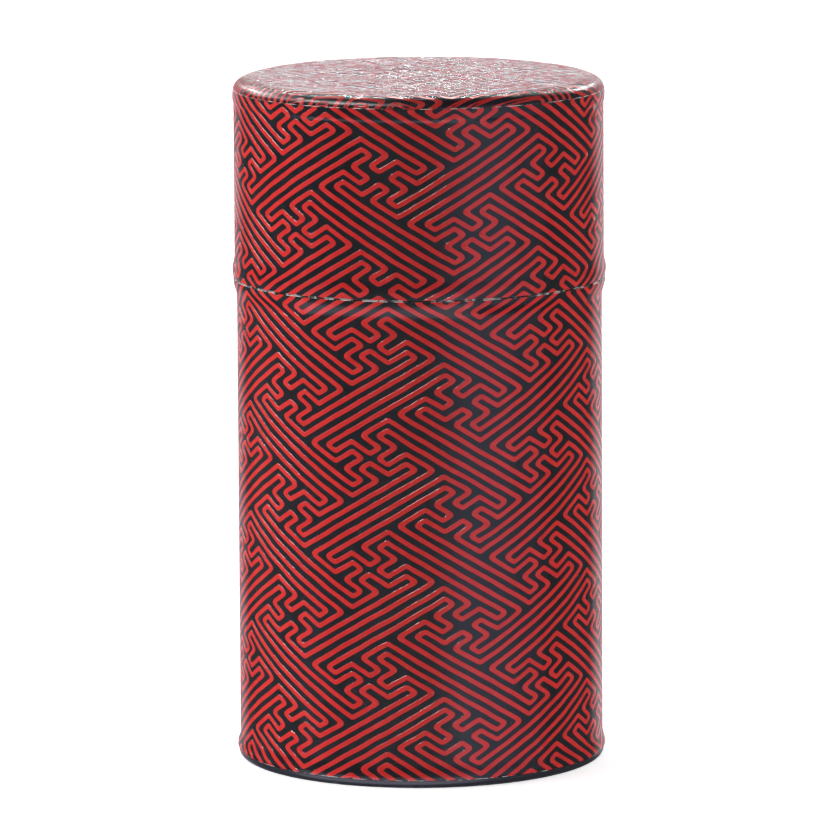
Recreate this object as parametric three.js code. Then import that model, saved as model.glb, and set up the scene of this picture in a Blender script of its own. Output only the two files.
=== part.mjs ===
import * as THREE from 'three';

// A tea caddy of papered tinplate, in millimetres. It stands on z = 0 and is turned about +Z.
// Every piece is a round sheet: an outline (radius, height) of its outer side, with its
// thickness laid on the inner side, or on the upper side where the sheet lies flat.

// Driving dimensions
const overallHeight = 148;
const bodyWallRadius = 39.3; // over the paper
const capWallRadius = 39.75; // over the paper
const rimHeight = 104.8; // top of the canister's tin tube
const neckTopHeight = 133.7;
const panDepth = 8.1; // how far the inner lid's floor hangs below its flange

// Sheet thicknesses and the gaps between sheets
const paper = 0.18;
const glue = 0.03;
const tin = 0.28;
const slidingGap = 0.17; // between the neck and the cap's tube
const plugGap = 0.1; // between the inner lid's wall and the neck's lip
const seatGap = 0.05; // under a piece that rests on another
const covering = paper + glue;

// Canister: the flared rim at the top and the bead at the foot
const rimFlare = 0.73;
const rimFlareHeight = 3.8;
const rimLandHeight = 0.5; // the upright edge above the flare
const footBead = 0.58;
const footBeadCrest = 2.4;
const footBeadHeight = 3;
const paperCutHeight = 1.85;
const bodyRimRadius = bodyWallRadius + rimFlare;
const rimLandBottom = rimHeight - rimLandHeight;
const footCrestRadius = bodyWallRadius + footBead;
const bodyTinRadius = bodyWallRadius - covering;

// Base plate
const baseFloorHeight = 2.6;
const baseRingInner = bodyWallRadius - 1.7;
const baseRingOuter = bodyWallRadius - 0.7;

// Cap: the swollen mouth, the lap of the two papers and the rounded shoulder
const mouthHeight = 104.9;
const mouthBead = 0.47;
const mouthBeadCrest = mouthHeight + 1.5;
const mouthBeadHeight = 3.2;
const mouthRadius = capWallRadius + 0.28;
const paperInset = 0.1; // how far a paper's edge stops short of the tin's
const seamHeight = 145.6;
const lapHeight = 2.2; // how far the top paper runs down under the side paper
const shoulderWidth = 4.3;
const capTinRadius = capWallRadius - covering;
const capTubeTop = 144.4;

// Neck sleeve
const neckBottomHeight = 84;
const neckOuterRadius = capTinRadius - tin - slidingGap;
const neckFitRadius = bodyTinRadius - tin - 0.09; // where it is gripped inside the canister
const neckStepHeight = 2; // where it steps out from the canister's bore to the cap's
const lipWidth = 0.6;

// Inner lid
const flangeHeight = neckTopHeight + seatGap;
const panFloorHeight = flangeHeight - panDepth;
const panWallRadius = neckOuterRadius - lipWidth - plugGap;
const bossHeight = 0.8;
const bossRadius = 7.5;
const beadRadius = 26.5; // the stiffening bead pressed in the floor
const beadWidth = 3;
const beadHeight = 0.9;
const rivetHole = 1.6;
const knobRadius = 8.2;
const knobHeight = 10.8;
const rivetDepth = 5.75; // how far the shank stands in the knob
const rivetHeadRadius = 3.2;

const turns = 48; // flats round the circle

const materials = {
  washi: { color: 0x24242b, roughness: 0.45, metalness: 0 },
  tinplate: { color: 0xc8cacd, roughness: 0.3, metalness: 1 },
  lacquer: { color: 0x15161a, roughness: 0.35, metalness: 0 },
};

// Points that ease smoothly from one radius to another as the height climbs evenly.
function eased(fromRadius, fromHeight, toRadius, toHeight, steps) {
  return Array.from({ length: steps + 1 }, (_, i) => {
    const share = i / steps;
    const ease = (1 - Math.cos(Math.PI * share)) / 2;
    return [fromRadius + (toRadius - fromRadius) * ease, fromHeight + (toHeight - fromHeight) * share];
  });
}

// A quarter of an ellipse that starts upright at its widest and ends level at its top.
function shoulder(outerRadius, fromHeight, width, rise, steps) {
  return Array.from({ length: steps + 1 }, (_, i) => {
    const angle = (Math.PI / 2) * (i / steps);
    return [outerRadius - width * (1 - Math.cos(angle)), fromHeight + rise * Math.sin(angle)];
  });
}

// Moves an outline sideways to its left, with mitred corners. A point on the axis stays on it.
function shifted(outline, distance) {
  const normals = outline.slice(1).map(([r, z], i) => {
    const [r0, z0] = outline[i];
    const length = Math.hypot(r - r0, z - z0);
    return [-(z - z0) / length, (r - r0) / length];
  });
  return outline.map(([r, z], i) => {
    const before = normals[Math.max(i - 1, 0)];
    const after = normals[Math.min(i, normals.length - 1)];
    const scale = distance / (1 + before[0] * after[0] + before[1] * after[1]);
    const shiftedRadius = r === 0 ? 0 : r + (before[0] + after[0]) * scale;
    return [shiftedRadius, z + (before[1] + after[1]) * scale];
  });
}

// Turns a closed outline about the axis.
function turned(name, outline, material) {
  const points = outline.map(([r, z]) => new THREE.Vector2(r, z));
  const geometry = new THREE.LatheGeometry(points, turns);
  geometry.rotateX(Math.PI / 2);
  const mesh = new THREE.Mesh(geometry, new THREE.MeshStandardMaterial(materials[material]));
  mesh.name = name;
  return mesh;
}

// Turns a sheet of even thickness. Its loop starts and ends on the axis if the sheet reaches it.
function sheet(name, outline, thickness, material) {
  const inner = shifted(outline, thickness).reverse();
  const endsOnAxis = inner[0][0] === 0;
  const startsOnAxis = outline[0][0] === 0;
  const loop = endsOnAxis ? [...inner, ...outline] : [...outline, ...inner];
  if (!endsOnAxis && !startsOnAxis) loop.push(outline[0]);
  return turned(name, loop, material);
}

function bodyShell() {
  const crest = footCrestRadius - covering;
  return sheet('body_shell', [
    [baseRingOuter + 0.25, 1],
    [baseRingOuter + 0.45, 1.45],
    [baseRingOuter + 0.8, 1.9],
    ...eased(crest, footBeadCrest, bodyTinRadius, footBeadCrest + footBeadHeight, 3),
    ...eased(bodyTinRadius, rimLandBottom - rimFlareHeight, bodyRimRadius - covering, rimLandBottom, 3),
    [bodyRimRadius - covering, rimHeight],
  ], tin, 'tinplate');
}

function bodyPaper() {
  return sheet('body_paper', [
    [footCrestRadius - paperInset, paperCutHeight],
    ...eased(footCrestRadius, footBeadCrest, bodyWallRadius, footBeadCrest + footBeadHeight, 3),
    ...eased(bodyWallRadius, rimLandBottom - rimFlareHeight, bodyRimRadius, rimLandBottom, 3),
    [bodyRimRadius, rimHeight - paperInset],
  ], paper, 'washi');
}

// The floor is raised, and the edge runs down into a standing ring and up round the foot.
function basePlate() {
  return sheet('base_plate', [
    [0, baseFloorHeight],
    [baseRingInner - 1.1, baseFloorHeight],
    [baseRingInner - 0.5, baseFloorHeight - 0.5],
    [baseRingInner - 0.4, 0.4],
    [baseRingInner, 0],
    [baseRingOuter, 0],
    [baseRingOuter + 0.6, 0.35],
    [baseRingOuter + 1, 0.95],
    [baseRingOuter + 1.12, 1.7],
  ], tin, 'lacquer');
}

function neckSleeve() {
  return sheet('neck_sleeve', [
    [neckFitRadius, neckBottomHeight],
    [neckFitRadius, rimHeight + 0.8 - neckStepHeight],
    [neckOuterRadius, rimHeight + 0.8],
    [neckOuterRadius, neckTopHeight - 0.5],
    [neckOuterRadius - 0.18, neckTopHeight - 0.1],
    [neckOuterRadius - lipWidth, neckTopHeight],
  ], tin, 'tinplate');
}

function capShell() {
  const crest = capTinRadius + mouthBead;
  return sheet('cap_shell', [
    [mouthRadius - covering, mouthHeight],
    ...eased(crest, mouthBeadCrest, capTinRadius, mouthBeadCrest + mouthBeadHeight, 3),
    [capTinRadius, capTubeTop],
  ], tin, 'tinplate');
}

function capSidePaper() {
  const crest = capWallRadius + mouthBead;
  const lapBottom = seamHeight - lapHeight;
  return sheet('cap_side_paper', [
    [mouthRadius, mouthHeight + paperInset],
    ...eased(crest, mouthBeadCrest, capWallRadius, mouthBeadCrest + mouthBeadHeight, 3),
    ...eased(capWallRadius, lapBottom - 1, capWallRadius + covering, lapBottom, 2),
    [capWallRadius + covering, seamHeight - paperInset],
  ], paper, 'washi');
}

// The skirt drops inside the cap's tube, and steps out above it to the shoulder.
function capTopPlate() {
  const skirtRadius = capTinRadius - tin - seatGap;
  const rise = overallHeight - covering - seamHeight;
  return sheet('cap_top_plate', [
    [skirtRadius, capTubeTop - 4],
    [skirtRadius, capTubeTop + 0.2],
    [capTinRadius - 0.05, seamHeight - 0.2],
    ...shoulder(capTinRadius, seamHeight, shoulderWidth - covering, rise, 4),
    [0, overallHeight - covering],
  ], tin, 'tinplate');
}

function capTopPaper() {
  return sheet('cap_top_paper', [
    [capWallRadius, seamHeight - lapHeight + 0.2],
    ...shoulder(capWallRadius, seamHeight, shoulderWidth, overallHeight - seamHeight, 4),
    [0, overallHeight],
  ], paper, 'washi');
}

// A pressed dish: a raised boss for the knob, a stiffening bead, the plug wall and the flange.
function innerLidPan() {
  const floor = panFloorHeight;
  return sheet('inner_lid_pan', [
    [rivetHole, floor + bossHeight],
    [bossRadius, floor + bossHeight],
    [bossRadius + 1.5, floor],
    [beadRadius - beadWidth / 2, floor],
    [beadRadius, floor + beadHeight],
    [beadRadius + beadWidth / 2, floor],
    [panWallRadius - 2.1, floor],
    [panWallRadius - 0.5, floor + 0.7],
    [panWallRadius, floor + 2.3],
    [panWallRadius, flangeHeight],
    [neckOuterRadius - 0.05, flangeHeight],
  ], tin, 'tinplate');
}

function innerLidKnob() {
  const foot = panFloorHeight + bossHeight + tin + seatGap;
  const top = foot + knobHeight;
  const boreTop = foot + rivetDepth;
  return turned('inner_lid_knob', [
    [0, boreTop],
    [rivetHole - 0.05, boreTop],
    [rivetHole - 0.05, foot],
    [4.4, foot],
    [4.4, foot + 0.8],
    [3.3, foot + 2.8],
    [3.6, foot + 4.8],
    [knobRadius - 0.6, top - 3.9],
    [knobRadius, top - 2.7],
    [knobRadius - 0.8, top - 1.3],
    [knobRadius - 3.7, top - 0.3],
    [0, top],
  ], 'tinplate');
}

function knobRivet() {
  const bossUnderside = panFloorHeight + bossHeight;
  const shankRadius = rivetHole - 0.1;
  const shankTop = bossUnderside + rivetDepth - seatGap;
  return turned('knob_rivet', [
    [0, bossUnderside - 0.98],
    [rivetHeadRadius - 1.2, bossUnderside - 0.9],
    [rivetHeadRadius, bossUnderside - 0.4],
    [rivetHeadRadius, bossUnderside - seatGap],
    [shankRadius, bossUnderside - seatGap],
    [shankRadius, shankTop],
    [0, shankTop],
  ], 'tinplate');
}

const caddy = new THREE.Group();
caddy.name = 'tea_caddy';
caddy.add(
  bodyShell(),
  bodyPaper(),
  basePlate(),
  neckSleeve(),
  capShell(),
  capSidePaper(),
  capTopPlate(),
  capTopPaper(),
  innerLidPan(),
  innerLidKnob(),
  knobRivet(),
);

export default caddy;
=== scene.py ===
"""Looks of a papered tinplate tea caddy: printed key-fret paper over the canister and the cap."""

import math

import bmesh
import bpy
from mathutils import Euler, Matrix, Vector, noise


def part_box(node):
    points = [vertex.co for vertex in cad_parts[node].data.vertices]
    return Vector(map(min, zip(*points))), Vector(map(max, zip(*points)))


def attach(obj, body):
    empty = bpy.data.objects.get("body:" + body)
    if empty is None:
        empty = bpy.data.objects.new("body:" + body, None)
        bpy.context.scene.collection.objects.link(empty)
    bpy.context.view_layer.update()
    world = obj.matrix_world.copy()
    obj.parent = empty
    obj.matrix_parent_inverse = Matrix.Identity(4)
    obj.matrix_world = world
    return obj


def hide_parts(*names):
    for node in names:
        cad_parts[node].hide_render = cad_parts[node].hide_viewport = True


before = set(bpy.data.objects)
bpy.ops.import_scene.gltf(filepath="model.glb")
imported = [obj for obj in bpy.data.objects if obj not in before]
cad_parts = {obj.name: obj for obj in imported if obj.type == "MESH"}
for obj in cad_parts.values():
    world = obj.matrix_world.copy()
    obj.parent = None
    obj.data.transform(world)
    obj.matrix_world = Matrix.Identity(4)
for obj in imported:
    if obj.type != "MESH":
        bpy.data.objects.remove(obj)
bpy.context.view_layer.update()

MM = 0.001
TURNS = 256  # columns round a turned piece


def extent(node):
    """A CAD node's widest radius, its bottom and its top, in millimetres."""
    low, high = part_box(node)
    return high.x / MM, low.z / MM, high.z / MM


# Sizes in millimetres. The sheets' thicknesses and small forms are the CAD part's.
PAPER = 0.18
GLUE = 0.03
COVERING = PAPER + GLUE
TIN = 0.28
RIM_FLARE = 0.73
FOOT_BEAD = 0.58
MOUTH_BEAD = 0.47
PAPER_INSET = 0.1
SHOULDER_WIDTH = 4.3
BEAD_CREST = 2.4  # heights of the foot bead's widest ring and of its upper end
BEAD_END = 5.4
FLARE_LENGTH = 4.3  # the rim flares over this length and ends in a straight lip
LIP_LENGTH = 0.5
MOUTH_EDGE = 0.28  # how far the cap's mouth stands out at its cut edge
MOUTH_CREST = 1.5  # above the cut edge, the mouth bead's widest ring and its upper end
MOUTH_END = 4.7
SEAT = 0.05  # clearance between sheets of tin that rest on each other
CAP_WALL, TOP_PAPER_FOOT, HEIGHT = extent("cap_top_paper")
BODY_RIM, PAPER_FOOT, PAPER_TOP = extent("body_paper")
BODY_WALL = BODY_RIM - RIM_FLARE
RIM_TOP = extent("body_shell")[2]
_, MOUTH, CAP_TUBE_TOP = extent("cap_shell")
SEAM = extent("cap_side_paper")[2] + PAPER_INSET
PLATE_FOOT = extent("cap_top_plate")[1]
NECK_OUTER, NECK_FOOT, NECK_TOP = extent("neck_sleeve")
FLANGE = NECK_TOP + SEAT
PAN_FLOOR = extent("inner_lid_pan")[1]
CAP_TIN = CAP_WALL - COVERING
BODY_TIN = BODY_WALL - COVERING
NECK_FIT = BODY_TIN - TIN - 0.09  # radius of the neck inside the canister
PAN_WALL = NECK_OUTER - 0.7

# The key fret: crosses stand on a lattice of slanted squares, each CELLS pitches apart, and
# every other one is mirrored. Lines run in the pitch grid, which is sheared into diamonds.
CELLS = 10
INK = 1.03  # width of a printed line
INK_HEIGHT = 0.045
INK_ROOT = -0.02  # its sides start this far under the paper's face
INK_BEVEL = 0.07
INK_STEP = 1.3  # longest straight piece of a line, so that it can bend with the sheet
MERGE = 0.004  # ends of lines that are this close are one point
LINE_LEVELS = (1.55, 2.45, 3.45, 4.45)  # in pitches from a cross's centre
OPEN_CROSS = 0.56  # half the gap across a cross, in pitches
TIGHT_CROSS = 0.42
OUTER_ROUND = 1.1  # radius outside a bend of a line
INNER_ROUND = 0.5
REPEAT = (39.6, 23.97)  # width and height of one repeat
WANDER = ((4.5, 0.13), (1.7, 0.05))  # length and reach of a hand-cut line's drifts


# ---------------------------------------------------------------- outlines

def eased(r0, z0, r1, z1, steps=10):
    """Points whose radius eases from one value to another while the height climbs evenly."""
    points = []
    for i in range(steps + 1):
        share = i / steps
        ease = (1 - math.cos(math.pi * share)) / 2
        points.append((r0 + (r1 - r0) * ease, z0 + (z1 - z0) * share))
    return points


def shoulder(radius, z, width, rise, steps=14):
    """A quarter ellipse from upright at its widest to level at its top."""
    points = []
    for i in range(steps + 1):
        angle = math.pi / 2 * i / steps
        points.append((radius - width * (1 - math.cos(angle)), z + rise * math.sin(angle)))
    return points


def softened(outline, reach, steps=4):
    """The outline with each inner corner cut to a curve that starts `reach` before it."""
    points = [outline[0]]
    for before, corner, after in zip(outline, outline[1:], outline[2:]):
        corner = Vector(corner)
        back = Vector(before) - corner
        ahead = Vector(after) - corner
        a = corner + back.normalized() * min(reach, back.length * 0.45)
        b = corner + ahead.normalized() * min(reach, ahead.length * 0.45)
        for i in range(steps + 1):
            t = i / steps
            points.append(tuple(a * (1 - t) ** 2 + corner * (2 * t * (1 - t)) + b * t ** 2))
    points.append(outline[-1])
    return points


def normals_along(outline):
    """The left-hand unit normal at each point of an outline."""
    sides = []
    for a, b in zip(outline, outline[1:]):
        run = Vector(b) - Vector(a)
        sides.append(Vector((-run.y, run.x)).normalized())
    joined = [sides[0]]
    for a, b in zip(sides, sides[1:]):
        joined.append((a + b).normalized())
    joined.append(sides[-1])
    return joined


def shifted(outline, distance):
    """The outline moved to its left. A point on the axis stays there."""
    moved = []
    for point, side in zip(outline, normals_along(outline)):
        place = Vector(point) + side * distance
        moved.append((0.0 if point[0] == 0 else place.x, place.y))
    return moved


def body_wall(radius):
    """The canister's wall with its foot bead and flared rim, for the tin or the paper over it."""
    return [
        *eased(radius + FOOT_BEAD, BEAD_CREST, radius, BEAD_END),
        *eased(radius, RIM_TOP - FLARE_LENGTH, radius + RIM_FLARE, RIM_TOP - LIP_LENGTH),
    ]


def cap_mouth(radius):
    """The swollen mouth at the foot of the cap's wall, for the tin or the paper over it."""
    return eased(radius + MOUTH_BEAD, MOUTH + MOUTH_CREST, radius, MOUTH + MOUTH_END)


def body_outline():
    foot = BODY_WALL + FOOT_BEAD - 0.1
    return [(foot, PAPER_FOOT), *body_wall(BODY_WALL), (BODY_RIM, PAPER_TOP)]


def cap_side_outline():
    """The side paper: it steps out near its top, where it laps over the top paper."""
    return [
        (CAP_WALL + MOUTH_EDGE, MOUTH + PAPER_INSET),
        *cap_mouth(CAP_WALL),
        *eased(CAP_WALL, SEAM - 3.2, CAP_WALL + COVERING, SEAM - 2.2, 6),
        (CAP_WALL + COVERING, SEAM - PAPER_INSET),
    ]


def cap_top_outline():
    return [
        (CAP_WALL, TOP_PAPER_FOOT),
        *shoulder(CAP_WALL, SEAM, SHOULDER_WIDTH, HEIGHT - SEAM),
        (0.0, HEIGHT),
    ]


# ---------------------------------------------------------------- meshes

def new_object(name, vertices, faces, material):
    mesh = bpy.data.meshes.new(name)
    mesh.from_pydata(vertices, [], faces)
    mesh.update()
    obj = bpy.data.objects.new(name, mesh)
    bpy.context.scene.collection.objects.link(obj)
    mesh.materials.append(material)
    mesh.shade_smooth()
    mesh.set_sharp_from_angle(angle=math.radians(32))
    return obj


def around(radius, z, angle):
    """A point in metres. Angle 0 faces -Y, and it grows towards +X."""
    return (radius * math.sin(angle) * MM, -radius * math.cos(angle) * MM, z * MM)


def turned(name, loop, material, turns=TURNS):
    """A closed outline, or one that starts and ends on the axis, turned about Z."""
    closed = loop[0][0] > 0
    rings = []
    vertices = []
    for radius, z in loop:
        if radius == 0:
            rings.append([len(vertices)] * turns)
            vertices.append((0, 0, z * MM))
        else:
            rings.append(list(range(len(vertices), len(vertices) + turns)))
            vertices += [around(radius, z, 2 * math.pi * k / turns) for k in range(turns)]
    pairs = list(zip(rings, rings[1:]))
    if closed:
        pairs.append((rings[-1], rings[0]))
    faces = []
    for low, high in pairs:
        for k in range(turns):
            n = (k + 1) % turns
            face = list(dict.fromkeys((low[k], low[n], high[n], high[k])))
            if len(face) > 2:
                faces.append(face)
    return new_object(name, vertices, faces, material)


def sheet(name, outline, thickness, material):
    """A turned sheet: the outline is its outer side and the thickness lies to the left."""
    inner = shifted(outline, thickness)[::-1]
    if outline[-1][0] == 0:
        loop = inner + outline
    else:
        loop = outline + inner
    return turned(name, loop, material)


class Wrap:
    """A paper sheet wrapped once round a turned wall, its end lapped over its start at the back."""

    LAP = 5.0
    LAP_RISE = 0.2
    LAP_CLIMB = 2.0  # length over which the lapped end rises
    CLIMB_START = 1.5  # how far before the sheet's start it begins to rise

    def __init__(self, outline, wall, seam_angle):
        self.points = outline
        self.sides = [-side for side in normals_along(outline)]
        self.wall = wall
        self.seam_angle = seam_angle
        self.lengths = [0.0]
        for a, b in zip(outline, outline[1:]):
            self.lengths.append(self.lengths[-1] + (Vector(b) - Vector(a)).length)
        self.width = 2 * math.pi * wall + self.LAP
        self.height = self.lengths[-1]

    def up_to(self, z):
        """How far up the sheet a height is, along the outline."""
        for i in range(len(self.points) - 1):
            low, high = self.points[i][1], self.points[i + 1][1]
            if low <= z <= high:
                run = self.lengths[i + 1] - self.lengths[i]
                return self.lengths[i] + (z - low) / (high - low) * run
        raise ValueError("the height is not on the sheet")

    def bends(self):
        """The levels at which the outline changes direction."""
        levels = []
        for i in range(1, len(self.points) - 1):
            before = Vector(self.points[i]) - Vector(self.points[i - 1])
            after = Vector(self.points[i + 1]) - Vector(self.points[i])
            if before.angle(after) > math.radians(0.5):
                levels.append(self.lengths[i])
        return levels

    def across(self, angle):
        """How far along the sheet an angle round the axis is."""
        return (angle - self.seam_angle) % (2 * math.pi) * self.wall

    def lift(self, along):
        """How far the lapped end stands off, because it lies on the sheet's start."""
        start = 2 * math.pi * self.wall - self.CLIMB_START
        share = min(max((along - start) / self.LAP_CLIMB, 0), 1)
        return self.LAP_RISE * share * share * (3 - 2 * share)

    def place(self, along, up, out):
        """A point in metres that lies along and up the sheet, and stands out from its face."""
        up = min(max(up, 0.0), self.height)
        i = 0
        while i < len(self.lengths) - 2 and self.lengths[i + 1] < up:
            i += 1
        share = (up - self.lengths[i]) / (self.lengths[i + 1] - self.lengths[i])
        point = Vector(self.points[i]).lerp(Vector(self.points[i + 1]), share)
        side = self.sides[i].lerp(self.sides[i + 1], share).normalized()
        point += side * (out + self.lift(along))
        return around(point.x, point.y, self.seam_angle + along / self.wall)


def wrapped_paper(name, wrap, material):
    """The paper itself, with its thickness, as one sheet from its start edge to its lapped end."""
    tallest = 4  # of the faces, in millimetres
    columns = TURNS + 14  # the last 14 are the lap's
    levels = []
    for low, high in zip(wrap.lengths, wrap.lengths[1:]):
        steps = max(1, round((high - low) / tallest))
        levels += [low + (high - low) * k / steps for k in range(steps)]
    levels.append(wrap.height)
    vertices = []
    for out in (0.0, -PAPER):
        for c in range(columns + 1):
            along = wrap.width * c / columns
            vertices += [wrap.place(along, up, out) for up in levels]
    rows = len(levels)
    back = (columns + 1) * rows
    faces = []
    for c in range(columns):
        for r in range(rows - 1):
            a = c * rows + r
            faces.append((a, a + rows, a + rows + 1, a + 1))
            faces.append((back + a, back + a + 1, back + a + rows + 1, back + a + rows))
        low = c * rows
        high = low + rows - 1
        faces.append((low, back + low, back + low + rows, low + rows))
        faces.append((high, high + rows, back + high + rows, back + high))
    for r in range(rows - 1):
        end = columns * rows + r
        faces.append((r, r + 1, back + r + 1, back + r))
        faces.append((end, back + end, back + end + 1, end + 1))
    return new_object(name, vertices, faces, material)


# ---------------------------------------------------------------- the key fret

def arm(gap):
    """One of a cross's four lines, in pitches from its centre, with a hook at each end."""
    near, mid, far, edge = LINE_LEVELS
    half = CELLS / 2
    return [
        (-half, -far), (near, -far), (near, -mid), (-gap, -mid), (-gap, -gap),
        (-near, -gap), (-near, -mid), (-edge, -mid), (-edge, half),
    ]


def motif(column, row):
    """The four lines of the cross in one cell. Every other cross is mirrored and tighter."""
    mirrored = (column + row) % 2 == 1
    line = arm(TIGHT_CROSS if mirrored else OPEN_CROSS)
    lines = []
    for _ in range(4):
        line = [(-j, i) for i, j in line]
        side = -1 if mirrored else 1
        lines.append([(side * i + column * CELLS, j + row * CELLS) for i, j in line])
    return lines


def fret_lines(repeat, reach_x, reach_y):
    """All lines of the pattern, in millimetres, that come within reach of the origin's cross."""
    width, height = repeat
    cells = int(reach_x / (width / 2) + reach_y / (height / 2)) + 2
    lines = []
    for column in range(-cells, cells + 1):
        for row in range(-cells, cells + 1):
            x = width / 2 * (column + row)
            y = height / 2 * (column - row)
            if abs(x) > reach_x + width / 2 or abs(y) > reach_y + height / 2:
                continue
            for line in motif(column, row):
                unit_x, unit_y = width / (2 * CELLS), height / (2 * CELLS)
                lines.append([Vector((unit_x * (i + j), unit_y * (i - j))) for i, j in line])
    return lines


def hand_cut(point, seed):
    """The point with small drifts, as a stencil cut by hand has."""
    place = Vector((point.x, point.y, seed))
    drift = Vector((0, 0, 0))
    for length, reach in WANDER:
        drift += noise.noise_vector(place / length) * reach
    return Vector((point.x + drift.x, point.y + drift.y))


def moved(line, turn, shift):
    """The line turned about the origin, then shifted."""
    return [shift + Matrix.Rotation(turn, 2) @ point for point in line]


def bent(start, corner, end, steps):
    """The points inside a rounded corner, between its two ends."""
    points = []
    for i in range(1, steps):
        t = i / steps
        points.append(start * (1 - t) ** 2 + corner * (2 * t * (1 - t)) + end * t ** 2)
    return points


def rail(line, offset, steps):
    """The line moved sideways by an offset, its corners rounded, as a list of points."""
    ways = [(b - a).normalized() for a, b in zip(line, line[1:])]
    sides = [Vector((-w.y, w.x)) for w in ways]
    corners = [line[0] + sides[0] * offset]
    for point, a, b in zip(line[1:], sides, sides[1:]):
        corners.append(point + (a + b) * (offset / (1 + a.dot(b))))
    corners.append(line[-1] + sides[-1] * offset)
    cuts = [0.0]
    for k in range(1, len(line) - 1):
        turn = ways[k - 1].x * ways[k].y - ways[k - 1].y * ways[k].x
        half_turn = ways[k - 1].angle(ways[k]) / 2
        radius = INNER_ROUND if turn * offset > 0 else OUTER_ROUND
        room = min((corners[k] - corners[k - 1]).length, (corners[k + 1] - corners[k]).length)
        cuts.append(min(radius * math.tan(half_turn), room * 0.5))
    cuts.append(0.0)
    points = []
    for k, way in enumerate(ways):
        start = corners[k] + way * cuts[k]
        end = corners[k + 1] - way * cuts[k + 1]
        points += [start.lerp(end, i / steps[k]) for i in range(steps[k] + 1)]
        if k + 1 < len(ways):
            points += bent(end, corners[k + 1], corners[k + 1] + ways[k + 1] * cuts[k + 1], 5)
    return points


def inked(mesh, line, seed, step=INK_STEP):
    """Adds one printed line to a flat mesh: a strip with bevelled sides, standing out along Z."""
    steps = [max(1, math.ceil((b - a).length / step)) for a, b in zip(line, line[1:])]
    half = INK / 2
    flat = half - INK_BEVEL
    section = ((half, INK_ROOT), (flat, INK_HEIGHT), (-flat, INK_HEIGHT), (-half, INK_ROOT))
    columns = []
    for offset, height in section:
        column = []
        for point in rail(line, offset, steps):
            place = hand_cut(point, seed)
            column.append(mesh.verts.new((place.x, place.y, height)))
        columns.append(column)
    for left, right in zip(columns, columns[1:]):
        for k in range(len(left) - 1):
            mesh.faces.new((right[k], right[k + 1], left[k + 1], left[k]))


def cut_away(mesh, point, outward):
    """Cuts off everything on the outward side of a plane."""
    geometry = mesh.verts[:] + mesh.edges[:] + mesh.faces[:]
    bmesh.ops.bisect_plane(mesh, geom=geometry, plane_co=point, plane_no=outward, clear_outer=True)


def crease(mesh, point, across):
    """Adds an edge loop on a plane, so that the mesh can bend there."""
    geometry = mesh.verts[:] + mesh.edges[:] + mesh.faces[:]
    bmesh.ops.bisect_plane(mesh, geom=geometry, plane_co=point, plane_no=across)


def finished(name, mesh, material):
    """The object made of a mesh that was built piece by piece."""
    data = bpy.data.meshes.new(name)
    mesh.to_mesh(data)
    mesh.free()
    data.materials.append(material)
    data.shade_smooth()
    data.set_sharp_from_angle(angle=math.radians(28))
    obj = bpy.data.objects.new(name, data)
    bpy.context.scene.collection.objects.link(obj)
    return obj


def wrapped_print(name, wrap, repeat, cross_angle, cross_z, tilt, material, seed):
    """The fret printed on a wrapped sheet, with one open cross at the given angle and height."""
    origin = Vector((wrap.across(cross_angle), wrap.up_to(cross_z)))
    mesh = bmesh.new()
    for line in fret_lines(repeat, wrap.width, wrap.height):
        line = moved(line, tilt, origin)
        if max(p.x for p in line) < 0 or min(p.x for p in line) > wrap.width:
            continue
        if max(p.y for p in line) < 0 or min(p.y for p in line) > wrap.height:
            continue
        inked(mesh, line, seed)
    bmesh.ops.remove_doubles(mesh, verts=mesh.verts[:], dist=MERGE)
    for level in wrap.bends():
        crease(mesh, (0, level, 0), (0, 1, 0))
    edge = 0.02  # bare paper beyond the print's ends
    cut_away(mesh, (edge, 0, 0), (-1, 0, 0))
    cut_away(mesh, (wrap.width - edge, 0, 0), (1, 0, 0))
    cut_away(mesh, (0, edge, 0), (0, -1, 0))
    cut_away(mesh, (0, wrap.height - edge, 0), (0, 1, 0))
    for vertex in mesh.verts:
        vertex.co = wrap.place(vertex.co.x, vertex.co.y, vertex.co.z)
    return finished(name, mesh, material)


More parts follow.
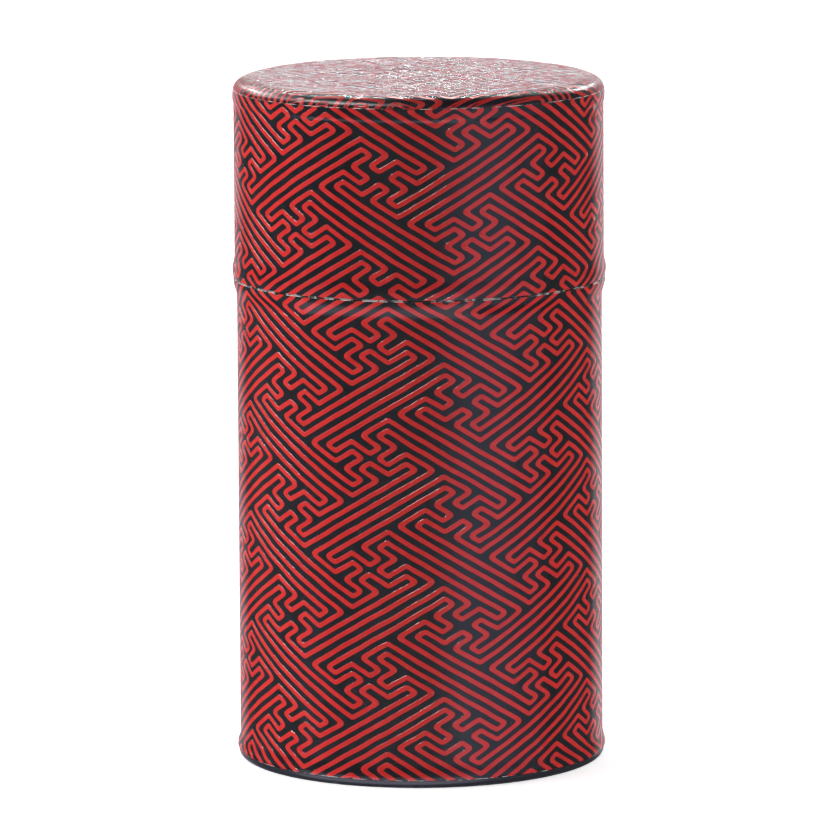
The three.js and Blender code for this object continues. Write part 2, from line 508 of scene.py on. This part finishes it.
def top_print(name, repeat, turn, cross, material, seed):
    """The fret printed on the cap's top sheet, with one open cross at a point in millimetres.

    It is carried down over the rounded shoulder, where its lines bend in short steps.
    """
    flat = CAP_WALL - SHOULDER_WIDTH
    curve = shoulder(CAP_WALL, SEAM, SHOULDER_WIDTH, HEIGHT - SEAM, 40)[::-1]
    lengths = [0.0]
    for a, b in zip(curve, curve[1:]):
        lengths.append(lengths[-1] + (Vector(b) - Vector(a)).length)
    sides = normals_along(curve)
    reach = flat + lengths[-1] + 1.0

    def place(x, y, out):
        """A point in metres, from its place on the flat sheet and how far it stands out."""
        distance = math.hypot(x, y)
        if distance <= flat:
            return (x * MM, y * MM, (HEIGHT + out) * MM)
        down = distance - flat
        i = 0
        while i < len(lengths) - 2 and lengths[i + 1] < down:
            i += 1
        share = (down - lengths[i]) / (lengths[i + 1] - lengths[i])
        point = Vector(curve[i]).lerp(Vector(curve[i + 1]), min(share, 1))
        if share > 1:
            point.y -= (share - 1) * (lengths[i + 1] - lengths[i])
        point += sides[i].lerp(sides[i + 1], min(share, 1)).normalized() * out
        return (x / distance * point.x * MM, y / distance * point.x * MM, point.y * MM)

    mesh = bmesh.new()
    for line in fret_lines(repeat, 2 * reach, 2 * reach):
        line = moved(line, turn, Vector(cross))
        if min(p.length for p in line) > reach + 4:
            continue
        near_rim = max(p.length for p in line) > flat - 1
        inked(mesh, line, seed, 0.4 if near_rim else INK_STEP)
    bmesh.ops.remove_doubles(mesh, verts=mesh.verts[:], dist=MERGE)
    for vertex in mesh.verts:
        vertex.co = place(vertex.co.x, vertex.co.y, vertex.co.z)
    cut_away(mesh, (0, 0, (SEAM - 0.6) * MM), (0, 0, -1))
    return finished(name, mesh, material)


# ---------------------------------------------------------------- materials

def srgb(r, g, b):
    """A display colour, each channel from 0 to 255, as the linear colour that shaders take."""
    def linear(c):
        c /= 255
        return c / 12.92 if c <= 0.04045 else ((c + 0.055) / 1.055) ** 2.4
    return (linear(r), linear(g), linear(b), 1)


class Shader:
    """A node material with one Principled shader, and short ways to add to it."""

    def __init__(self, name):
        self.material = bpy.data.materials.new(name)
        self.material.use_nodes = True
        self.nodes = self.material.node_tree.nodes
        self.links = self.material.node_tree.links
        self.surface = self.nodes["Principled BSDF"]
        self.place = self.add("ShaderNodeTexCoord").outputs["Object"]

    def add(self, kind, **inputs):
        node = self.nodes.new(kind)
        for key, value in inputs.items():
            self.put(node.inputs[key.replace("_", " ")], value)
        return node

    def put(self, socket, value):
        if isinstance(value, bpy.types.NodeSocket):
            self.links.new(value, socket)
        else:
            socket.default_value = value

    def set(self, **inputs):
        for key, value in inputs.items():
            self.put(self.surface.inputs[key.replace("_", " ")], value)

    def height(self):
        """The height above the floor at rest, in metres."""
        return self.add("ShaderNodeSeparateXYZ", Vector=self.place).outputs["Z"]

    def noise(self, scale, detail=3.0, roughness=0.5, stretch=(1, 1, 1), distortion=0.0):
        """Cloudy noise from 0 to 1; scale is in features per metre."""
        mapping = self.add("ShaderNodeMapping", Vector=self.place, Scale=stretch)
        node = self.add("ShaderNodeTexNoise", Vector=mapping.outputs[0], Scale=scale,
                        Detail=detail, Roughness=roughness, Distortion=distortion)
        return node.outputs["Fac"]

    def ramp(self, value, low, high, start=0.0, end=1.0):
        """Maps a value between low and high onto start to end, clamped."""
        node = self.add("ShaderNodeMapRange", Value=value,
                        From_Min=low, From_Max=high, To_Min=start, To_Max=end)
        return node.outputs["Result"]

    def mix(self, share, first, second):
        """The first colour where the share is 0, and the second where it is 1."""
        node = self.nodes.new("ShaderNodeMix")
        node.data_type = "RGBA"
        self.put(node.inputs[0], share)
        self.put(node.inputs[6], first)
        self.put(node.inputs[7], second)
        return node.outputs[2]

    def maths(self, operation, a, b=0.0):
        node = self.nodes.new("ShaderNodeMath")
        node.operation = operation
        self.put(node.inputs[0], a)
        self.put(node.inputs[1], b)
        return node.outputs[0]

    def bump(self, height, distance_mm, strength=1.0, under=None):
        """A normal tilted by a relief of this height, laid over the one given as `under`."""
        node = self.add("ShaderNodeBump", Height=height, Distance=distance_mm * MM,
                        Strength=strength)
        if under is not None:
            self.put(node.inputs["Normal"], under)
        return node.outputs["Normal"]


def on_shoulder(shader):
    """1 on the cap's rounded shoulder, where the paper is stretched, and 0 on its top and walls."""
    height = shader.height()
    above_wall = shader.ramp(height, (SEAM - 0.1) * MM, SEAM * MM)
    on_top = shader.ramp(height, (HEIGHT - 0.7) * MM, (HEIGHT - 0.1) * MM)
    return shader.maths("SUBTRACT", above_wall, on_top)


def satin(shader, unevenness, gloss):
    """The coat's roughness: a little uneven, and duller where the paper is stretched."""
    even = shader.ramp(unevenness, 0, 1, gloss, gloss + 0.1)
    return shader.maths("ADD", even, shader.maths("MULTIPLY", on_shoulder(shader), 0.2))


def washi_relief(shader, crinkle_mm, grain_mm, grain_scale):
    """The surface of the coated paper: soft crinkles, long fibres and a fine grain."""
    flat = shader.ramp(on_shoulder(shader), 0, 1, 1.0, 0.12)
    crinkle = shader.noise(420, detail=4, roughness=0.6, distortion=0.6)
    fibres = shader.noise(700, detail=3, roughness=0.55, stretch=(1, 1, 5), distortion=1.2)
    grain = shader.noise(grain_scale, detail=2, roughness=0.6)
    waves = shader.noise(90, detail=2)
    normal = shader.bump(waves, 1.2 * crinkle_mm, flat)
    normal = shader.bump(crinkle, crinkle_mm, flat, under=normal)
    normal = shader.bump(fibres, 0.02, under=normal)
    return shader.bump(grain, grain_mm, flat, under=normal)


# Each coat's roughness, the depths of its crinkles and grain in mm, and its grains per metre.
SMOOTH_GROUND = (0.18, 0.04, 0.012, 2900)
SMOOTH_INK = (0.09, 0.04, 0.024, 3600)
CRINKLED = (0.06, 1.2, 0.32, 1100)


def ground_material(name, gloss, *relief):
    """Blue-black printed paper under a semi-gloss coat, faintly mottled, with lighter fibres."""
    shader = Shader(name)
    mottle = shader.ramp(shader.noise(260, detail=5, roughness=0.65), 0.35, 0.7)
    colour = shader.mix(mottle, srgb(22, 22, 25), srgb(29, 29, 34))
    fibres = shader.ramp(shader.noise(1500, detail=2, stretch=(1, 1, 4), distortion=2), 0.66, 0.74)
    colour = shader.mix(shader.maths("MULTIPLY", fibres, 0.35), colour, srgb(62, 62, 74))
    shader.set(Base_Color=colour, Roughness=satin(shader, mottle, gloss),
               Normal=washi_relief(shader, *relief))
    shader.surface.inputs["Specular IOR Level"].default_value = 0.3
    return shader.material


def ink_material(name, gloss, *relief):
    """Thick red pigment: slightly uneven, with darker pooled patches and worn light flecks."""
    shader = Shader(name)
    pooling = shader.ramp(shader.noise(330, detail=4, roughness=0.6), 0.3, 0.72)
    colour = shader.mix(pooling, srgb(186, 38, 37), srgb(197, 46, 43))
    flecks = shader.ramp(shader.noise(3000, detail=2, roughness=0.7), 0.73, 0.8)
    colour = shader.mix(shader.maths("MULTIPLY", flecks, 0.4), colour, srgb(240, 190, 180))
    shader.set(Base_Color=colour, Roughness=satin(shader, pooling, gloss),
               Normal=washi_relief(shader, *relief))
    shader.surface.inputs["Specular IOR Level"].default_value = 0.3
    return shader.material


def cut_edge_material():
    """The paper's cut edge: pale fibres showing in places, dyed dark in others."""
    shader = Shader("paper cut edge")
    bare = shader.ramp(shader.noise(420, detail=4, roughness=0.7), 0.49, 0.56)
    colour = shader.mix(bare, srgb(34, 32, 36), srgb(252, 252, 248))
    shader.set(Base_Color=colour, Roughness=shader.ramp(bare, 0, 1, 0.35, 0.5),
               Normal=shader.bump(shader.noise(2600, detail=3), 0.05))
    return shader.material


def tin_material(name, low, high):
    """Bright rolled tinplate: fine rolling lines, a soft spangle and faint handling marks.

    Where the canister and the cap meet, the tin is painted dark: painted shade in the narrow gap
    between them.
    """
    shader = Shader(name)
    rolling = shader.noise(90, detail=5, roughness=0.7, stretch=(1, 1, 60))
    spangle = shader.noise(500, detail=3)
    marks = shader.ramp(shader.noise(60, detail=6, roughness=0.75), 0.45, 0.72)
    colour = shader.mix(marks, srgb(196, 197, 196), srgb(222, 222, 218))
    # Painted shade: the tin darkens to grey within 0.05 to 0.2 mm of the gap between the canister
    # and the cap.
    gap = (RIM_TOP + MOUTH) / 2 * MM
    from_gap = shader.maths("ABSOLUTE", shader.maths("SUBTRACT", shader.height(), gap))
    painted_gap_shade = shader.ramp(from_gap, 0.05 * MM, 0.2 * MM, 1.0, 0.0)
    colour = shader.mix(painted_gap_shade, colour, srgb(60, 60, 62))
    roughness = shader.ramp(shader.maths("ADD", rolling, marks), 0.6, 1.5, low, high)
    normal = shader.bump(rolling, 0.012)
    shader.set(Base_Color=colour, Metallic=1.0, Roughness=roughness,
               Normal=shader.bump(spangle, 0.006, under=normal))
    return shader.material


def lacquer_material():
    """Black stoved lacquer with a slight orange-peel and scuffs where it stands."""
    shader = Shader("black lacquer")
    low_down = shader.ramp(shader.height(), 0.0, 0.7 * MM, 1.0, 0.0)
    scuffs = shader.ramp(shader.noise(700, detail=6, roughness=0.75), 0.5, 0.62)
    worn = shader.maths("MULTIPLY", low_down, scuffs)
    colour = shader.mix(worn, srgb(34, 34, 43), srgb(120, 120, 122))
    shader.set(Base_Color=colour, Roughness=shader.ramp(worn, 0, 1, 0.32, 0.6),
               Normal=shader.bump(shader.noise(900, detail=2), 0.012))
    return shader.material


# ---------------------------------------------------------------- pieces

def ride_and_replace(obj, body, slot, *nodes):
    """Fixes a piece to its body, in place of the CAD nodes that it shows. The slot is not used."""
    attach(obj, body)
    if nodes:
        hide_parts(*nodes)
    return obj


def cut_edge(name, outline_end, way, body, material):
    """The bevelled band where a sheet was cut, at its top where `way` is 1, or its foot at -1."""
    radius, z = outline_end
    loop = [
        (radius + 0.012, z - 0.02 * way),
        (radius + 0.006, z + 0.03 * way),
        (radius - 0.075, z + 0.07 * way),
        (radius - 0.15, z + 0.07 * way),
        (radius - 0.15, z - 0.02 * way),
    ]
    edge = turned(name, loop[::way], material)
    return ride_and_replace(edge, body, "washi_print")


def build_canister(ground, ink, edge, tin, lacquer):
    wrap = Wrap(body_outline(), BODY_WALL, math.radians(178))
    paper = wrapped_paper("body_paper_sheet", wrap, ground)
    ride_and_replace(paper, "canister", "washi_print", "body_paper")
    body_print = wrapped_print("body_fret_print", wrap, REPEAT, math.radians(-44.45), 83.25,
                               math.radians(-0.35), ink, 11.0)
    ride_and_replace(body_print, "canister", "washi_print")
    cut_edge("body_paper_cut_edge", wrap.points[-1], 1, "canister", edge)
    cut_edge("body_paper_foot_edge", wrap.points[0], -1, "canister", edge)

    shell = [
        (BODY_WALL - 0.45, 1.0), (BODY_WALL - 0.25, 1.45), (BODY_WALL + 0.1, 1.9),
        *body_wall(BODY_TIN),
        (BODY_TIN + RIM_FLARE, RIM_TOP),
    ]
    ride_and_replace(sheet("body_tube", shell, TIN, tin), "canister", "tinplate", "body_shell")
    floor = 2.6
    groove = 31.0
    ring = BODY_WALL - 1.2
    base = softened([
        (0.0, floor), (groove - 1.0, floor), (groove, floor - 0.4), (groove + 1.0, floor),
        (ring - 1.6, floor), (ring - 1.0, 2.1), (ring - 0.9, 0.4), (ring - 0.5, 0.0),
        (ring + 0.5, 0.0), (ring + 1.1, 0.35), (ring + 1.5, 0.95), (ring + 1.62, 1.7),
    ], 0.3)
    ride_and_replace(sheet("base_pan", base, TIN, lacquer), "canister", "base_lacquer", "base_plate")
    neck = softened([
        (NECK_FIT, NECK_FOOT), (NECK_FIT, RIM_TOP - 1.2), (NECK_OUTER, RIM_TOP + 0.8),
        (NECK_OUTER, NECK_TOP - 0.35), (NECK_OUTER - 0.15, NECK_TOP - 0.05),
        (NECK_OUTER - 0.6, NECK_TOP),
    ], 0.4)
    ride_and_replace(sheet("neck_tube", neck, TIN, tin), "canister", "tinplate", "neck_sleeve")


def build_cap(ground, ink, edge, tin):
    wrap = Wrap(cap_side_outline(), CAP_WALL, math.radians(171))
    paper = wrapped_paper("cap_side_sheet", wrap, ground)
    ride_and_replace(paper, "cap", "washi_print", "cap_side_paper")
    side_print = wrapped_print("cap_side_fret_print", wrap, REPEAT, math.radians(-12.09), 130.91,
                               math.radians(-0.37), ink, 23.0)
    ride_and_replace(side_print, "cap", "washi_print")
    cut_edge("cap_side_paper_cut_edge", wrap.points[-1], 1, "cap", edge)
    cut_edge("cap_side_paper_mouth_edge", wrap.points[0], -1, "cap", edge)

    crinkled_ground = ground_material("crinkled washi ground", *CRINKLED)
    crinkled_ink = ink_material("crinkled red ink", *CRINKLED)
    top = sheet("cap_top_sheet", cap_top_outline(), PAPER, crinkled_ground)
    ride_and_replace(top, "cap", "washi_print", "cap_top_paper")
    over = top_print("cap_top_fret_print", REPEAT, math.radians(8.22), (-15.1, 4.1),
                     crinkled_ink, 37.0)
    ride_and_replace(over, "cap", "washi_print")

    tube = [(CAP_TIN + MOUTH_EDGE, MOUTH), *cap_mouth(CAP_TIN), (CAP_TIN, CAP_TUBE_TOP)]
    ride_and_replace(sheet("cap_tube", tube, TIN, tin), "cap", "tinplate", "cap_shell")
    skirt = CAP_TIN - TIN - SEAT
    plate = [
        (skirt, PLATE_FOOT), (skirt, SEAM - 1.0), (CAP_TIN - SEAT, SEAM - 0.2),
        *shoulder(CAP_TIN, SEAM, SHOULDER_WIDTH - COVERING, HEIGHT - COVERING - SEAM),
        (0.0, HEIGHT - COVERING),
    ]
    ride_and_replace(sheet("cap_plate", plate, TIN, tin), "cap", "tinplate", "cap_top_plate")


def build_inner_lid(tin, bright):
    floor = PAN_FLOOR
    boss = floor + 0.8  # the raised middle that carries the knob
    pan = softened([
        (1.6, boss), (7.5, boss), (9.0, floor), (25.0, floor), (26.5, floor + 0.9),
        (28.0, floor), (PAN_WALL - 2.1, floor), (PAN_WALL - 0.5, floor + 0.7),
        (PAN_WALL, floor + 2.3), (PAN_WALL, FLANGE), (NECK_OUTER - 0.05, FLANGE),
    ], 0.8)
    ride_and_replace(sheet("pan_sheet", pan, TIN, tin), "inner_lid", "tinplate", "inner_lid_pan")
    foot = boss + TIN + SEAT
    bore = 1.55
    knob = softened([
        (0.0, foot + 5.8), (bore, foot + 5.8), (bore, foot), (4.4, foot), (4.4, foot + 0.8),
        (3.3, foot + 2.8), (3.6, foot + 4.8), (7.6, foot + 6.9), (8.2, foot + 8.1),
        (7.4, foot + 9.5), (4.5, foot + 10.5), (0.0, foot + 10.8),
    ], 0.7)
    turning = turned("knob_turning", knob, bright, TURNS // 2)
    ride_and_replace(turning, "inner_lid", "tinplate", "inner_lid_knob")
    shank = bore - SEAT
    rivet = softened([
        (0.0, boss - 0.98), (2.0, boss - 0.9), (3.2, boss - 0.4), (3.2, boss - SEAT),
        (shank, boss - SEAT), (shank, boss + 5.7), (0.0, boss + 5.7),
    ], 0.25)
    turning = turned("rivet_turning", rivet, bright, TURNS // 4)
    ride_and_replace(turning, "inner_lid", "tinplate", "knob_rivet")


# ---------------------------------------------------------------- stage, light and camera

def build_stage():
    """A pale sweep: a floor that curves up behind the object. Painted light: it glows, most near the
    object where the glow fills in its contact shadow, and a painted falloff greys and dims it in
    front.
    """
    reach = 4.5  # in front and to each side, in metres
    bend_start = 2.2
    bend = 1.0
    steps = 16
    profile = [(-reach, 0.0), (bend_start, 0.0)]
    for i in range(1, steps + 1):
        angle = math.pi / 2 * i / steps
        profile.append((bend_start + bend * math.sin(angle), bend * (1 - math.cos(angle))))
    profile.append((bend_start + bend, 3.5))
    vertices = []
    for y, z in profile:
        vertices += [(-reach, y, z), (reach, y, z)]
    faces = [(2 * k, 2 * k + 1, 2 * k + 3, 2 * k + 2) for k in range(len(profile) - 1)]
    shader = Shader("pale sweep")
    forward = shader.add("ShaderNodeSeparateXYZ", Vector=shader.place).outputs["Y"]
    # Painted light: a painted falloff greys the floor and fades its glow towards the front, and near
    # the object the glow fills in its contact shadow.
    pale = shader.ramp(forward, -0.5, -0.14)
    colour = shader.mix(pale, (0.7, 0.7, 0.72, 1), (0.93, 0.93, 0.93, 1))
    shader.set(Base_Color=colour, Roughness=0.9)
    shader.surface.inputs["Specular IOR Level"].default_value = 0.1
    shader.surface.inputs["Emission Color"].default_value = (1, 1, 1, 1)
    shader.set(Emission_Strength=shader.ramp(forward, -0.4, -0.14, 0.15, 0.63))
    sweep = new_object("sweep", vertices, faces, shader.material)
    sweep.visible_glossy = False
    sweep.visible_shadow = False


def panel(name, azimuth, elevation, distance, width, height, power, target=(0, 0, 0.075)):
    """A rectangular light that faces its target. Azimuth 0 is the camera's side, 90 is +X."""
    target = Vector(target)
    a = math.radians(azimuth)
    e = math.radians(elevation)
    light = bpy.data.lights.new(name, "AREA")
    light.shape = "RECTANGLE"
    light.size = width
    light.size_y = height
    light.energy = power
    obj = bpy.data.objects.new(name, light)
    direction = Vector((math.sin(a) * math.cos(e), -math.cos(a) * math.cos(e), math.sin(e)))
    obj.location = target + direction * distance
    obj.rotation_euler = direction.to_track_quat("Z", "Y").to_euler()
    obj.visible_camera = False
    bpy.context.scene.collection.objects.link(obj)
    return obj


def softbox(*place, **options):
    """A light so well diffused that it leaves no reflection of itself."""
    panel(*place, **options).visible_glossy = False


def card(name, azimuth, elevation, distance, width, height, radiance, tint=(1, 1, 1)):
    """A pale card that shows in the gloss only. Its radiance is a mirror's brightness of it."""
    power = radiance * math.pi * width * height
    obj = panel(name, azimuth, elevation, distance, width, height, power)
    obj.data.color = tint
    obj.visible_diffuse = False


def light_scene():
    """Soft daylight from both sides, and cards whose reflections shape the paper's gloss.

    The small bright panes put glints on the print's raised edges and on the crinkled top.
    """
    world = bpy.data.worlds.new("room")
    bpy.context.scene.world = world
    world.use_nodes = True
    background = world.node_tree.nodes["Background"]
    background.inputs["Color"].default_value = (0.95, 0.97, 1.05, 1)
    background.inputs["Strength"].default_value = 0.07
    softbox("left window", -80, 14, 1.3, 1.1, 1.2, 19.5)
    softbox("right window", 84, 14, 1.3, 1.0, 1.2, 10)
    softbox("backdrop", 0, 20, 2.3, 3.4, 0.7, 60, target=(0, 3.2, 0.6))
    softbox("overhead", 180, 78, 2.2, 3.0, 2.4, 6)
    card("front wall", -10, -4, 2.4, 2.6, 2.0, 0.3)
    card("front table", -10, -24, 1.2, 1.7, 0.34, 0.35, (0.95, 0.95, 1.1))
    card("front floor", -25, -42, 0.6, 1.5, 0.3, 2.2, (0.94, 0.94, 1.15))
    for azimuth, width, radiance in ((19, 0.37, 0.5), (42, 1.2, 1.15), (70, 0.7, 0.6)):
        card("right strip", azimuth, -4, 1.9, width, 1.6, radiance, (0.86, 0.9, 1.2))
    card("right side", 100, -4, 1.9, 1.6, 1.6, 0.12)
    card("back right", 163, 2, 2.6, 2.0, 1.9, 0.8, (1, 0.97, 1.03))
    card("back left", -166, -13, 2.6, 1.7, 1.4, 0.5, (1, 0.96, 1.06))
    card("back low", 180, 9, 2.6, 3.4, 1.1, 0.48, (0.97, 0.98, 1.09))
    card("left floor", -85, -12, 0.55, 1.0, 0.14, 0.25)
    card("skylight", -65, 52, 1.5, 1.3, 0.15, 60)
    for k in range(4):
        card("left pane", -86 - 13.3 * k, 47 - 6.9 * k, 1.5, 0.38, 0.28, 2 + 3 * k)
    for k in range(6):
        card("back pane", 156 + 13 * k, 26 + 6 * (k % 2), 2.0, 0.12, 0.08, 200)


def place_camera():
    """A long lens 1.6 m away, looking slightly down at the caddy."""
    camera = bpy.data.objects.new("camera", bpy.data.cameras.new("camera"))
    camera.data.lens = 326.5
    camera.data.sensor_width = 36
    camera.data.clip_end = 20
    camera.location = (0.0001, -1.62556, 0.33829)
    look_down = math.radians(9.266)
    camera.rotation_euler = Euler((math.pi / 2 - look_down, 0, math.radians(0.004)))
    camera.rotation_euler.rotate_axis("Z", math.radians(-0.297))
    bpy.context.scene.collection.objects.link(camera)
    bpy.context.scene.camera = camera


def main():
    noise.seed_set(1)  # otherwise the print's drifts would differ from one run to the next
    ground = ground_material("washi ground", *SMOOTH_GROUND)
    ink = ink_material("red ink", *SMOOTH_INK)
    edge = cut_edge_material()
    tin = tin_material("tinplate", 0.2, 0.36)
    bright = tin_material("bright tinplate", 0.12, 0.26)
    build_canister(ground, ink, edge, tin, lacquer_material())
    build_cap(ground, ink, edge, tin)
    build_inner_lid(tin, bright)
    build_stage()
    light_scene()
    place_camera()
    bpy.context.scene.view_settings.view_transform = "Standard"


main()
